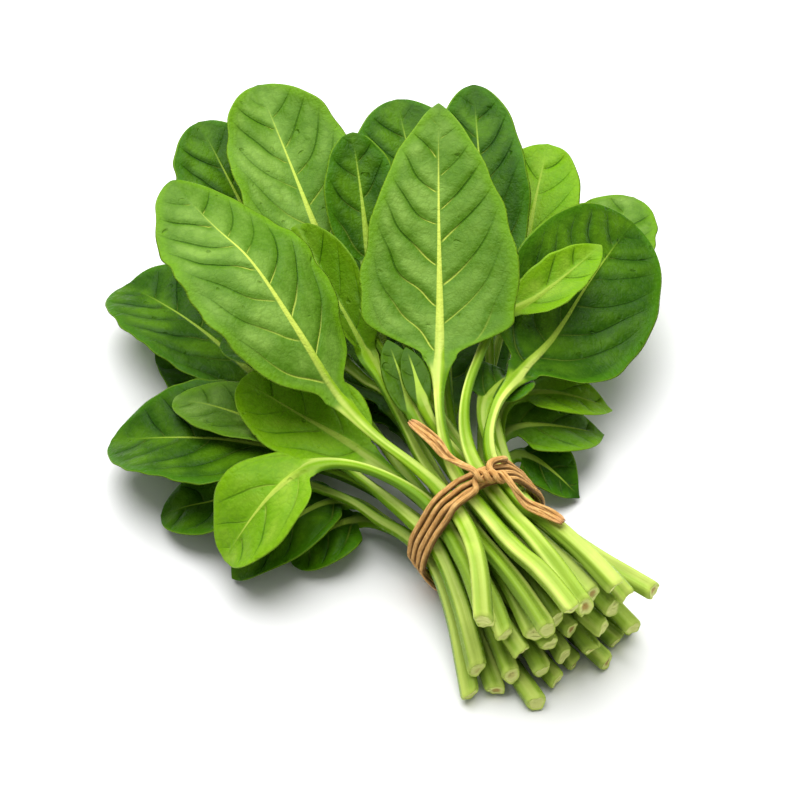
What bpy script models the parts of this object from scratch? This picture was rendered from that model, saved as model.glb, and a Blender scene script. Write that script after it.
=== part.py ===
"""A bunch of spinach lying on a table, tied round its stems with twine.

Each leaf is one solid: a cut stem that runs through the tie and on as the midrib of its blade.
Stems stand in rows inside the tie. Leaves are laid from the bottom row up, and each one is
lifted until it rests clear of those beneath it, so the blades pile up as they do on a table.

Frame: +Y runs along the stems towards the leaves, +X to the right of that, +Z up from the table.
The table below is in millimetres, with its origin on the table under the tie.
"""

import math

import bpy
import numpy as np
from mathutils import Vector
from mathutils.bvhtree import BVHTree

MM = 0.001

# Driving dimensions
STEM_RADIUS = 3.6  # where the tie squeezes it
SLOT_PITCH = 7.6  # from stem to stem along a row in the tie
ROW_RISE = 7.4  # from row to row in the tie
ROW_STEMS = (5, 6, 7, 6, 5, 4)  # bottom row first
ROUNDING = 0.8  # how far the pack's upper sides are bulged towards a circle
CUT_RADIUS = 4.3
TIE_X = -3.5  # the tie is a little to the left of the table's origin
BLADE_STEM_RADIUS = 2.1  # where the stem meets the blade
THINNING = 0.55  # the stem is down to that over this share of its way from the tie to the blade
BLADE_THICKNESS = 1.2
CLEARANCE = 1.2  # between a leaf and those beneath it
CUT_CLEARANCE = 0.4  # between the stems on the cut side of the tie
TIE_STRAIGHT = 8.0  # stems run nearly straight this far on both sides of the tie's middle
CUT_FAN = 0.30  # how far they turn there towards their cut ends
TIE_FAN = 0.006  # on the leaves' side they spread by this for each mm from the tie's middle
TIE_REACH = 11.0  # leaves are lifted only beyond this distance from the tie's middle
TIE_HALF_WIDTH = 40.0
LIFT_SLOPE = 0.4  # the steepest ramp that a lift may add along a leaf

# Colour and roughness of old, grown and young leaves, and of the twine
LEAF_TONES = {
    "dark": ((0.045, 0.16, 0.02), 0.42),
    "mid": ((0.085, 0.25, 0.03), 0.45),
    "light": ((0.19, 0.40, 0.05), 0.48),
}
TWINE_COLOUR = ((0.56, 0.36, 0.17), 0.85)

TWINE_RADIUS = 1.45
TWINE_GAP = 0.35  # between the twine and whatever it passes
TWINE_PITCH = 3.25  # from turn to turn
TWINE_TURNS = 4
TURN_STEP = 10  # degrees
KNOT_TWINE = 2.6  # pulled tight, the twine is this thick in the knot
KNOT_SLACK = 0.27  # between the two ends in the knot, beyond their radii
KNOT_LENGTH = 11.0
KNOT_X, KNOT_Y = -1.5, -4.5
KNOT_TURN = 35  # degrees from across the stems towards the cut ends
KNOT_SECTIONS = 19
TAIL_SECTIONS = 9
TAIL_RADIUS = 1.4
# The coil's first and last degrees, next to the knot: where they are along the stems, and how far
# they rise
START_DEGREES, START_ALONG, START_RISE = (0, 15, 30, 50), (-0.5, 4.4, 6.4, 6.1), (3.2, 3.0, 0.4, 0)
END_DEGREES, END_ALONG, END_RISE = (45, 30, 15, 0), (-6.1, -6.1, -6.0, -5.8), (0, 0.7, 1.6, 2.4)
# Where the two loose ends lie, seen from above
CUT_TAIL = [(3, -13), (7, -25), (11, -38)]
LEAF_TAIL = [(-8, 4), (-10, 20), (-12, 39)]

STEM_SECTIONS = 12
BLADE_SECTIONS = 10
# The eight points of a section as (side, height): on a round stem, as shares of its radius
SECTION = [(math.cos(k * math.pi / 4), math.sin(k * math.pi / 4)) for k in range(8)]
# and on a blade, as a share of its half-width and 1 for its top or -1 for its underside
BLADE_SHARES = [(1, 0), (0.5, 1), (0, 1), (-0.5, 1), (-1, 0), (-0.5, -1), (0, -1), (0.5, -1)]

# Blade outlines: how sharply the base and the tip round off, and how long the base's taper is
OUTLINES = {"pointed": (0.45, 0.85, 0.14), "broad": (0.28, 0.75, 0.14), "oval": (0.5, 0.55, 0.12),
            "blunt": (0.5, 0.4, 0.12), "narrow": (0.6, 0.7, 0.10)}


def leaf(name, tone, slot, cut, base, tip, width, outline="oval", bow=0, roll=0, cup=12):
    """One leaf: slot is (row, place) in the tie, cut is its cut end, base and tip end the blade."""
    return dict(name="leaf_" + name, tone=tone, slot=slot, cut=cut, base=base, tip=tip,
                width=width, outline=outline, bow=bow, roll=roll, cup=cup)


# From the table up. bow arches the midrib upwards, in millimetres. roll turns the blade's right
# edge down and cup turns both edges up, in degrees.
LEAVES = [
    leaf("floor_left", "dark", (0, 0), (-20.5, -73, 4.2), (-36, 40, 9), (-68, 36, 4),
         30, bow=6, roll=-10),
    leaf("floor_back_left", "dark", (0, 1), (-8, -68, 4.2), (-30, 80, 8), (-62, 176, 3),
         52, "broad", cup=4),
    leaf("floor_back", "dark", (0, 2), (3, -64, 4.2), (8, 78, 8), (16, 182, 3), 56, cup=4),
    leaf("floor_back_right", "dark", (0, 3), (14, -70, 4.2), (30, 78, 12), (84, 166, 6),
         54, "broad", cup=6),
    leaf("floor_right", "dark", (0, 4), (23.5, -63, 4.2), (39, 34, 14), (53, 10, 3), 26, "pointed", bow=4),
    leaf("low_left", "dark", (1, 0), (-31, -60, 4.2), (-39, 46, 14), (-92, 43, 3), 34, "narrow", bow=8),
    leaf("low_back_left", "dark", (1, 1), (-25.5, -62, 12), (-40, 74, 14), (-92, 136, 7), 46, cup=6),
    leaf("back_left", "dark", (1, 2), (-14, -66, 12), (-36, 113, 20), (-60, 208, 18), 56, "blunt", bow=6),
    leaf("low_back", "dark", (1, 3), (-2.5, -64, 12), (6, 84, 16), (34, 196, 12), 54, cup=6),
    leaf("right_back", "mid", (1, 4), (8.5, -67, 12), (98, 88, 30), (153, 122, 42), 48),
    leaf("low_right", "mid", (1, 5), (32.5, -60, 4.2), (38, 42, 22), (77, 29, 11), 38, "pointed", bow=4),
    leaf("side_left", "dark", (2, 0), (-41, -57, 4.2), (-60, 62, 16), (-103, 86, 5), 42, bow=3),
    leaf("left", "dark", (2, 1), (-20, -60, 20), (-46, 64, 30), (-105, 127, 14), 62, bow=6),
    leaf("far_back", "dark", (2, 2), (-8.5, -62, 20), (-14, 150, 50), (-12, 224, 80), 52),
    leaf("top_inner", "mid", (2, 3), (3, -60, 20), (2, 84, 50), (17, 117, 58), 17, cup=30),
    leaf("back_inner", "dark", (2, 4), (13.5, -66, 20), (50, 126, 54), (69, 190, 84), 56),
    leaf("back_young", "light", (2, 5), (18.5, -64, 12), (88, 112, 45), (126, 153, 62), 40),
    leaf("side_right", "light", (2, 6), (28, -66, 12), (50, 52, 28), (84, 34, 18), 28, "pointed", bow=5),
    leaf("left_inner", "mid", (3, 0), (-36, -54, 12), (-45, 68, 30), (-77, 122, 28), 34),
    leaf("left_folded", "light", (3, 1), (-25, -55, 27), (-28, 46, 38), (-55, 102, 46), 44, roll=-12),
    leaf("left_shade", "dark", (3, 2), (-14.5, -60, 27), (-14, 91, 38), (-48, 135, 38), 34),
    leaf("back", "mid", (3, 3), (-3, -58, 27), (2, 128, 62), (16, 220, 92), 58, cup=16),
    leaf("back_middle", "dark", (3, 4), (8.5, -61, 27), (15, 118, 66), (32, 164, 98), 33),
    leaf("back_right", "dark", (3, 5), (38, -64, 27), (60, 96, 50), (101, 177, 88), 42),
    leaf("front_young", "light", (4, 0), (-30.5, -51, 20), (-54, 47, 43), (-95, 43, 16), 42, bow=8),
    leaf("top_folded", "light", (4, 1), (-13, -66, 34), (-7, 82, 50), (-4, 148, 70), 36, cup=50),
    leaf("heart", "light", (4, 2), (2, -58, 34), (-8, 42, 54), (-1, 76, 64), 16, "narrow"),
    leaf("heart_low", "light", (4, 3), (8.5, -64, 35), (-4, 41, 56), (3, 68, 62), 12, "narrow"),
    leaf("right_inner", "dark", (4, 4), (23.5, -66, 20), (27, 43, 44), (46, 54, 41), 30, bow=3),
    leaf("right", "dark", (5, 3), (15, -69, 35), (46, 47, 36), (137, 101, 49), 70, bow=4, roll=30),
    leaf("top_right", "light", (5, 2), (1, -70, 42), (54, 69, 56), (107, 82, 64),
         24, "narrow", roll=20, cup=25),
    leaf("top", "mid", (5, 1), (-6, -71, 41), (14, 60, 60), (64, 146, 112), 66, "broad", cup=8),
    leaf("top_left", "mid", (5, 0), (-34, -54, 29), (-31, 64, 52), (-49, 171, 99),
         63, bow=6, cup=-10, roll=10),
]


def smooth(low, high, value):
    """0 below low, 1 above high, and an even S-curve between."""
    t = np.clip((value - low) / (high - low), 0.0, 1.0)
    return t * t * (3 - 2 * t)


def spline_through(points):
    """A curve as a function from 0..1 to a point: a natural cubic spline through points."""
    points = np.array(points, float)
    gaps = np.linalg.norm(np.diff(points, axis=0), axis=1)
    knots = np.concatenate([[0], np.cumsum(gaps)])
    count = len(points)
    system = np.eye(count)
    sides = np.zeros((count, 3))
    for i in range(1, count - 1):
        system[i, i - 1 : i + 2] = gaps[i - 1], 2 * (gaps[i - 1] + gaps[i]), gaps[i]
        sides[i] = 6 * ((points[i + 1] - points[i]) / gaps[i] - (points[i] - points[i - 1]) / gaps[i - 1])
    bends = np.linalg.solve(system, sides)

    def at(share):
        distance = np.atleast_1d(share) * knots[-1]
        i = np.clip(np.searchsorted(knots, distance) - 1, 0, count - 2)
        gap = gaps[i][:, None]
        after = (distance - knots[i])[:, None]
        before = gap - after
        curve = (bends[i] * before**3 + bends[i + 1] * after**3) / (6 * gap)
        line = (points[i] / gap - bends[i] * gap / 6) * before
        return curve + line + (points[i + 1] / gap - bends[i + 1] * gap / 6) * after

    return at, knots / knots[-1]


def slot_of(row, place):
    """A stem's middle inside the tie: rows in a six-sided pack, with its upper sides bulged round."""
    across = (place - (ROW_STEMS[row] - 1) / 2) * SLOT_PITCH
    lowest = 2 * TWINE_RADIUS + STEM_RADIUS + TWINE_GAP + 0.1
    out, up = across, (row - 2) * ROW_RISE
    corner = 3 * SLOT_PITCH
    side = corner * math.cos(math.pi / 6) / math.cos(math.atan2(up, out) % (math.pi / 3) - math.pi / 6)
    bulge = 1 + ROUNDING * (math.hypot(out, up) / side) ** 3 * (corner / side - 1) * (up > 0)
    return np.array([TIE_X + out * bulge, 0.0, lowest + 2 * ROW_RISE + up * bulge])


def centreline_of(spec):
    """The line down the middle of a leaf from its cut end to its tip, and the shares of it at
    which the tie starts and ends and the blade starts."""
    slot = slot_of(*spec["slot"])
    end = np.array(spec["cut"], float)
    base, tip = np.array(spec["base"], float), np.array(spec["tip"], float)
    middle = (base + tip) / 2 + np.array([0, 0, spec["bow"]])
    off = slot - slot_of(2, 3)
    fanned = TIE_STRAIGHT * np.array([off[0] * TIE_FAN, 1, max(off[2], 0) * TIE_FAN])
    towards_end = (end - slot) / np.linalg.norm(end - slot)
    gathered = TIE_STRAIGHT * ((1 - CUT_FAN) * np.array([0, -1, 0]) + CUT_FAN * towards_end)
    points = [end, slot + gathered, slot, slot + fanned, base, middle, tip]
    line, knots = spline_through(points)
    return line, knots[[1, 3, 4]]


def half_width(spec, along):
    """The blade's half-width at a share of its length from base (0) to tip (1)."""
    base_power, tip_power, taper = OUTLINES[spec["outline"]]
    widest = base_power / (base_power + tip_power)
    most = widest**base_power * (1 - widest) ** tip_power
    outline = along**base_power * (1 - along) ** tip_power / most
    return spec["width"] / 2 * outline * smooth(-0.05, taper, along)


def sections_of(spec):
    """Where a leaf's sections stand as shares of its centreline, closer together at the blade's ends."""
    line, marks = centreline_of(spec)
    blade_start = marks[-1]
    stem = np.linspace(0, blade_start, STEM_SECTIONS, endpoint=False)
    even = np.linspace(0, 1, BLADE_SECTIONS)
    blade = 0.5 - 0.5 * np.cos(np.pi * even)
    blade = 0.35 * even + 0.65 * blade
    blade[-1] = 0.995
    return line, marks, np.concatenate([stem, blade_start + blade * (1 - blade_start)])


def stem_radius(share, tie_start, tie_end, blade_start):
    """Thick at the cut end, narrower in the tie and up to the blade, then down to a fine tip."""
    stem = CUT_RADIUS + (STEM_RADIUS - CUT_RADIUS) * smooth(0, tie_start, share)
    thinning = smooth(tie_end * 0.85, tie_end + THINNING * (blade_start - tie_end), share)
    stem += (BLADE_STEM_RADIUS - STEM_RADIUS) * thinning
    blade = BLADE_STEM_RADIUS * (1 - 0.8 * (share - blade_start) / (1 - blade_start))
    return np.where(share < blade_start, stem, blade)


def leaf_points(spec, lifts=None):
    """The eight points of every section of a leaf, as an array of sections by points by xyz."""
    line, marks, shares = sections_of(spec)
    blade_start = marks[-1]
    centres = line(shares)
    directions = line(np.minimum(shares + 0.004, 1)) - line(np.maximum(shares - 0.004, 0))
    if lifts is not None:
        centres[:, 2] += lifts
    rings = []
    for share, centre, direction in zip(shares, centres, directions):
        direction /= np.linalg.norm(direction)
        side = np.cross(direction, [0, 0, 1])
        side /= np.linalg.norm(side)
        along = np.clip((share - blade_start) / (1 - blade_start), 0, 1)
        turn = math.radians(spec["roll"]) * smooth(-0.35, 0.25, (share - blade_start) / (1 - blade_start))
        up = np.cross(side, direction)
        level_side, level_up = side, up
        side = level_side * math.cos(turn) - level_up * math.sin(turn)
        up = level_up * math.cos(turn) + level_side * math.sin(turn)
        radius = float(stem_radius(share, *marks))
        half = max(float(half_width(spec, along)), radius)
        on_blade = float(smooth(0, 6, half - radius))
        cup = math.radians(spec["cup"]) * on_blade
        ring = []
        for (round_side, round_up), (blade_side, blade_up) in zip(SECTION, BLADE_SHARES):
            across = half * ((1 - on_blade) * round_side + on_blade * blade_side)
            flat = blade_up * (radius if blade_side == 0 else BLADE_THICKNESS / 2)
            height = (1 - on_blade) * round_up * radius + on_blade * flat
            raised = abs(across) * math.sin(cup)
            ring.append(centre + side * across * math.cos(cup) + up * (height + raised))
        rings.append(ring)
    return np.array(rings)


def ring_faces(sections, around=8):
    """Quads round the sections of a tube, and a cap at each end."""
    faces = [tuple(reversed(range(around)))]
    for i in range(sections - 1):
        for k in range(around):
            nearer, next_one = i * around + k, i * around + (k + 1) % around
            faces.append((nearer, next_one, next_one + around, nearer + around))
    faces.append(tuple(range((sections - 1) * around, sections * around)))
    return [tuple(reversed(face)) for face in faces]


def split_quads(faces):
    return [t for f in faces for t in ((f[0], f[i], f[i + 1]) for i in range(1, len(f) - 1))]


def clearance_at(y):
    return CLEARANCE if y > 0 else CUT_CLEARANCE


def lift_needed(points, faces, pile):
    """How far each section must rise for the leaf to stay clear of the pile, and off the table."""
    sections, around = points.shape[:2]
    flat = points.reshape(-1, 3)
    needed = -points[:, :, 2].min(axis=1)
    if pile is None:
        return needed
    pile_tree, pile_points = pile
    beside = (points + np.roll(points, -1, axis=1)) / 2
    samples = [(i, p) for i in range(sections) for p in (*points[i], *beside[i])]
    for spots in (points, beside):
        samples += [(i, p) for i in range(sections - 1) for p in (spots[i] + spots[i + 1]) / 2]
    for i, (x, y, z) in samples:
        if abs(y) < TIE_REACH and abs(x) < TIE_HALF_WIDTH:
            continue
        hit = pile_tree.ray_cast(Vector((x, y, 500)), Vector((0, 0, -1)))[0]
        if hit is not None:
            needed[i] = max(needed[i], hit.z + clearance_at(y) - z)
    low, high = flat.min(axis=0), flat.max(axis=0)
    over = (pile_points[:, :2] > low[:2]).all(axis=1) & (pile_points[:, :2] < high[:2]).all(axis=1)
    over &= (abs(pile_points[:, 1]) > TIE_REACH) | (abs(pile_points[:, 0]) > TIE_HALF_WIDTH)
    tree = BVHTree.FromPolygons([Vector(p) for p in flat], faces)
    for x, y, z in pile_points[over]:
        hit, _, face, _ = tree.ray_cast(Vector((x, y, -500)), Vector((0, 0, 1)))
        if hit is not None and hit.z < z + clearance_at(y):
            for vertex in faces[face]:
                i = vertex // around
                needed[i] = max(needed[i], z + clearance_at(y) - hit.z)
    return needed


def eased(needed, centres):
    """Lifts that meet every need, with ramps no steeper than LIFT_SLOPE along the leaf."""
    along = np.concatenate([[0], np.cumsum(np.linalg.norm(np.diff(centres, axis=0), axis=1))])
    tie = along[np.argmin(abs(centres[:, 1]))]
    same_side = (along[:, None] - tie) * (along[None, :] - tie) > 0
    ramps = needed[None, :] - LIFT_SLOPE * abs(along[:, None] - along[None, :])
    ramps = np.where(same_side, ramps, 0)
    free = smooth(TIE_REACH, TIE_REACH + 12, abs(along - tie))
    return np.maximum(ramps.max(axis=1), 0) * free


def pile_up(specs):
    """Lays the leaves from the bottom up. Returns each leaf's points, and a tree of them all."""
    laid = []
    all_points, all_faces = np.zeros((0, 3)), []
    for spec in specs:
        points = leaf_points(spec)
        faces = split_quads(ring_faces(len(points)))
        lifts = np.zeros(len(points))
        pile = None
        if len(all_points):
            middles = all_points[np.array(all_faces)].mean(axis=1)
            tree = BVHTree.FromPolygons([Vector(p) for p in all_points], all_faces)
            pile = (tree, np.vstack([all_points, middles]))
        for _ in range(6):
            needed = lift_needed(points, faces, pile)
            if needed.max() < 0.05:
                break
            lifts += eased(needed, points.mean(axis=1))
            points = leaf_points(spec, lifts)
        laid.append(points)
        all_faces += [tuple(v + len(all_points) for v in face) for face in faces]
        all_points = np.vstack([all_points, points.reshape(-1, 3)])
    return laid, BVHTree.FromPolygons([Vector(p) for p in all_points], all_faces)


def hull_turn(laid, turned, along):
    """The tightest way round all the stems, at each angle and place along them, and outwards."""
    angles = np.radians(turned + TURN_STEP / 2)
    outward = np.stack([np.sin(angles), 0 * angles, np.cos(angles)], axis=1)
    places = []
    for y, out in zip(along, outward):
        reach = -math.inf
        for rings in laid:
            centres = rings.mean(axis=1)
            radii = np.linalg.norm(rings[:, 0] - centres, axis=1)
            stem = centres[:, 1] < 2 * TIE_REACH
            x, z, radius = (np.interp(y, centres[stem, 1], v[stem]) for v in
                            (centres[:, 0], centres[:, 2], radii))
            centre = np.array([x, y, z])
            if centre @ out + radius > reach:
                reach, nearest = centre @ out + radius, centre + out * radius
        places.append(nearest + out * (TWINE_GAP + TWINE_RADIUS))
    return np.array(places), outward


def top_of(pile, x, y, reach=3.0):
    """The height of the uppermost leaf within reach of a spot on the table."""
    angles = [k * math.pi / 3 for k in range(6)]
    spots = [(x, y)] + [(x + reach * math.cos(a), y + reach * math.sin(a)) for a in angles]
    hits = [pile.ray_cast(Vector((*spot, 500)), Vector((0, 0, -1)))[0] for spot in spots]
    return max(hit.z if hit is not None else 0.0 for hit in hits)


def spanned(heights):
    """Heights along a taut line that rests on the highest of them and spans the rest."""
    last = len(heights) - 1
    spans = [(i, k) for i in range(last) for k in range(i + 1, last + 1)]
    return np.array([max(np.interp(j, (i, k), heights[[i, k]]) for i, k in spans if i <= j <= k)
                     for j in range(last + 1)])


def twine_route(laid, pile):
    """The whole way of the twine, one loose end to the other, and its radius there."""
    turned = np.arange(0, 360 * TWINE_TURNS, TURN_STEP)
    left = turned[-1] - turned
    along = TWINE_PITCH * (TWINE_TURNS / 2 - turned / 360)
    along = np.where(turned < START_DEGREES[-1], np.interp(turned, START_DEGREES, START_ALONG), along)
    along = np.where(left < END_DEGREES[0], np.interp(-left, [-d for d in END_DEGREES], END_ALONG), along)
    coil, outward = hull_turn(laid, turned, along)
    top = coil[:, 2].max()
    # The first turn comes from the knot over the other turns, and the last one climbs to it
    rise = np.interp(turned, START_DEGREES, START_RISE)
    rise += np.interp(-left, [-d for d in END_DEGREES], END_RISE)
    coil += outward * rise[:, None]

    # In the knot the two ends wind one and a half times round each other
    radius = (KNOT_TWINE + TWINE_GAP) / 2 + KNOT_SLACK
    middle = top + TWINE_RADIUS + TWINE_GAP + KNOT_TWINE / 2 + radius
    share = np.linspace(0, 1, KNOT_SECTIONS)
    angle = np.radians(540 * share - 90)
    turn = math.radians(KNOT_TURN)
    ahead = np.array([math.cos(turn), -math.sin(turn), 0])
    beside = np.array([math.sin(turn), math.cos(turn), 0])
    run = ahead * (KNOT_LENGTH * (share - 0.5))[:, None]
    wind = beside * (radius * np.cos(angle))[:, None] + [0, 0, 1] * (radius * np.sin(angle))[:, None]
    knot = np.array([KNOT_X, KNOT_Y, middle])
    last_end = knot + run + wind
    first_end = knot + run - wind

    ends = []
    for start, tail in ((last_end[-1], CUT_TAIL), (first_end[0], LEAF_TAIL)):
        line, _ = spline_through([start, *((x, y, start[2]) for x, y in tail)])
        points = line(np.linspace(0, 1, TAIL_SECTIONS + 1)[1:])
        rest = np.array([top_of(pile, x, y) for x, y, _ in points]) + TWINE_RADIUS + TWINE_GAP
        rest = spanned(rest)
        drop = smooth(0, 0.45, np.linspace(0, 1, TAIL_SECTIONS))
        points[:, 2] = np.maximum(rest, start[2] * (1 - drop) + rest * drop)
        ends.append(points)
    route = np.vstack([ends[1][::-1], first_end, coil, last_end, ends[0]])
    thin = KNOT_TWINE / 2
    radii = np.concatenate([np.full(TAIL_SECTIONS, TAIL_RADIUS), np.full(KNOT_SECTIONS, thin),
                            np.full(len(coil), TWINE_RADIUS),
                            np.full(KNOT_SECTIONS, thin), np.full(TAIL_SECTIONS, TAIL_RADIUS)])
    return route, radii


def tube(route, radii, around=8):
    """A closed tube along a route, with rings that turn no more than the route does."""
    ahead = np.gradient(route, axis=0)
    ahead /= np.linalg.norm(ahead, axis=1)[:, None]
    side = np.cross(ahead[0], [0, 0, 1])
    points = []
    for centre, direction, radius in zip(route, ahead, radii):
        side = side - direction * (side @ direction)
        side /= np.linalg.norm(side)
        up = np.cross(side, direction)
        for k in range(around):
            angle = 2 * math.pi * k / around
            points.append(centre + radius * (side * math.cos(angle) + up * math.sin(angle)))
    return np.array(points)


def material(name, colour, roughness):
    made = bpy.data.materials.new(name)
    made.use_nodes = True
    shader = made.node_tree.nodes["Principled BSDF"]
    shader.inputs["Base Color"].default_value = (*colour, 1)
    shader.inputs["Roughness"].default_value = roughness
    shader.inputs["Metallic"].default_value = 0
    return made


def add_object(name, points, faces, surface):
    mesh = bpy.data.meshes.new(name)
    mesh.from_pydata([tuple(p * MM) for p in points], [], faces)
    mesh.materials.append(surface)
    made = bpy.data.objects.new(name, mesh)
    bpy.context.scene.collection.objects.link(made)
    return made


def main():
    for old in list(bpy.data.objects):
        bpy.data.objects.remove(old)
    greens = {tone: material("leaf_" + tone, *LEAF_TONES[tone]) for tone in LEAF_TONES}
    tan = material("twine", *TWINE_COLOUR)
    laid, pile = pile_up(LEAVES)
    route, radii = twine_route(laid, pile)
    solids = [points.reshape(-1, 3) for points in laid] + [tube(route, radii)]
    everything = np.vstack(solids)
    low, high = everything.min(axis=0), everything.max(axis=0)
    origin = np.array([(low[0] + high[0]) / 2, (low[1] + high[1]) / 2, low[2]])
    for spec, points in zip(LEAVES, solids):
        add_object(spec["name"], points - origin, ring_faces(len(points) // 8), greens[spec["tone"]])
    add_object("twine", solids[-1] - origin, ring_faces(len(route)), tan)


main()
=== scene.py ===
import math

import bpy
import numpy as np
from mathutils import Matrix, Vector
from mathutils.bvhtree import BVHTree


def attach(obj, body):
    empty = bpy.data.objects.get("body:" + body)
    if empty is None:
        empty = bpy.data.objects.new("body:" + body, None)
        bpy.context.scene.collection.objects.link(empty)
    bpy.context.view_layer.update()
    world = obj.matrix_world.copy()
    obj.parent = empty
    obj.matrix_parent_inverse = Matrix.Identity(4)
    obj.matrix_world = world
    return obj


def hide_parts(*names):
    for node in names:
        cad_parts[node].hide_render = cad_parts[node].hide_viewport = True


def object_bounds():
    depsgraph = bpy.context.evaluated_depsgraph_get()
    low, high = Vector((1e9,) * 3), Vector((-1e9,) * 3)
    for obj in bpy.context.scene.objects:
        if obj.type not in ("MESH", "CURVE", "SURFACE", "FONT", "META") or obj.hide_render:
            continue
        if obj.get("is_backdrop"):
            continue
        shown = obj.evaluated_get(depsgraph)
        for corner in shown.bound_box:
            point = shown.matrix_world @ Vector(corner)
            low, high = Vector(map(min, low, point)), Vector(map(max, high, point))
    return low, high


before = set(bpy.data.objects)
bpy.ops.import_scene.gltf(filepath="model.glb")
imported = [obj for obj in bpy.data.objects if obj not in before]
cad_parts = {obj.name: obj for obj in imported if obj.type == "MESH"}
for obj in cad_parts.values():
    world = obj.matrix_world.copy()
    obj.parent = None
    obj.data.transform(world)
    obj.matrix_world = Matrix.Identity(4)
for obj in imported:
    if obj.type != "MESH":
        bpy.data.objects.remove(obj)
cadBox = [list(corner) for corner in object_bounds()]
mm = 0.001

# A bunch of spinach lying on its side, tied with twine. Shapes are worked out in millimetres, with
# y along the stems towards the leaves and the origin on the table under the tie, and are then moved
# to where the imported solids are.

# how the stems are packed inside the tie, in rows from the table up
tie = {
    "stemRadius": 3.6,
    "slotPitch": 7.6,
    "rowRise": 7.4,
    "rowStems": (5, 6, 7, 6, 5, 4),
    "rounding": 0.8,
    "shiftX": -3.5,
    "straight": 8.0,
    "cutFan": 0.30,
    "fan": 0.006,
}

# the way of the twine: its turns from degrees round the stems, its knot and its two tails
twine = {
    "radius": 1.45,
    "gap": 0.35,
    "pitch": 3.25,
    "turns": 4,
    "turnStep": 10,
    "knotTwine": 2.6,
    "knotSlack": 0.27,
    "knotLength": 11.0,
    "knotX": -1.5,
    "knotY": -4.5,
    "knotTurn": 35,
    "knotSections": 19,
    "tailSections": 9,
    "tailRadius": 1.4,
    "startDegrees": (0, 15, 30, 50),
    "startAlong": (-0.5, 4.4, 6.4, 6.1),
    "startRise": (3.2, 3.0, 0.4, 0),
    "endDegrees": (-45, -30, -15, 0),
    "endAlong": (-6.1, -6.1, -6.0, -5.8),
    "endRise": (0, 0.7, 1.6, 2.4),
    "cutTail": [(3, -13), (7, -25), (11, -38)],
    "leafTail": [(-8, 4), (-10, 20), (-12, 39)],
    # how it is laid up and worn
    "strands": 7,
    "strandRadius": 0.72,
    "snug": 0.92,  # of the solid's radius
    "layPitch": 95.0,
    "step": 1.0,
    "sides": 8,
    "hairs": 230,
    "hairRadius": 0.07,
    "tailSpread": 1.5,
}

leafForm = {
    "cutRadius": 4.3,
    "bladeStemRadius": 2.1,
    "thinning": 0.55,  # of the way from tie to blade, over which the stem gets thinner
    "tipReach": 1.02,  # the blade runs on this far beyond its solid
    "thickness": 0.65,
    "step": 0.9,  # between sections along a blade
    "stemStep": 2.2,
    "wingWidth": 5.0,  # the blade runs down its stem as wings, this wide and fading over wingReach
    "wingReach": 7.5,
    "ribTop": 0.55,
    "ribBelow": 0.9,
    "veinPitch": 19.5,
    "fewestVeins": 2.6,
    "veinRise": 0.8,
    "veinCurl": 0.9,
    "veinDepth": 0.60,
    "veinLine": 0.55,
    "ruffle": 1.2,
    "sway": 0.7,
    "crinkle": 0.14,
    "uneven": 0.028,  # of the margin
    # waves over a leaf: how many, and the shortest and the longest
    "marginWaves": (4, 9, 30),
    "veinWaves": (4, 18, 45),
    "crinkleWaves": (7, 6, 13),
    "swayWaves": (3, 50, 110),
    "edgeWaves": (3, 26, 48),
    "stemRidge": 0.045,
    # painted shade on the stems that lie low in the pile, under the others
    "rowPaintedShade": (0.62, 0.54, 0.46, 0.34, 0.20, 0.0),  # of the stems, from the lowest row up
    "cutRings": (0.02, 0.2, 0.4, 0.6, 0.78, 0.9, 0.97),
}

# the outline of a blade: the powers that shape its base and its tip, and where its base begins
outlines = {
    "pointed": (0.45, 0.85, 0.14),
    "broad": (0.28, 0.75, 0.14),
    "oval": (0.5, 0.55, 0.12),
    "blunt": (0.5, 0.4, 0.12),
    "narrow": (0.6, 0.7, 0.10),
}


def leaf(node, tone, slot, cut, base, tip, width, outline="oval", bow=0, roll=0, cup=12,
        rib=0.35, sheen=1.0, tint=0.0, ease=7.0):
    # Slot is the row and place in the tie. Roll and cup are in degrees. Rib is how pale the rib is,
    # sheen how strong the painted sheen between its veins is, and tint makes it all paler, or deeper
    # below 0.
    # Ease is the reach over which the leaf settles onto those beneath it.
    return {**locals(), "node": "leaf_" + node}


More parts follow.
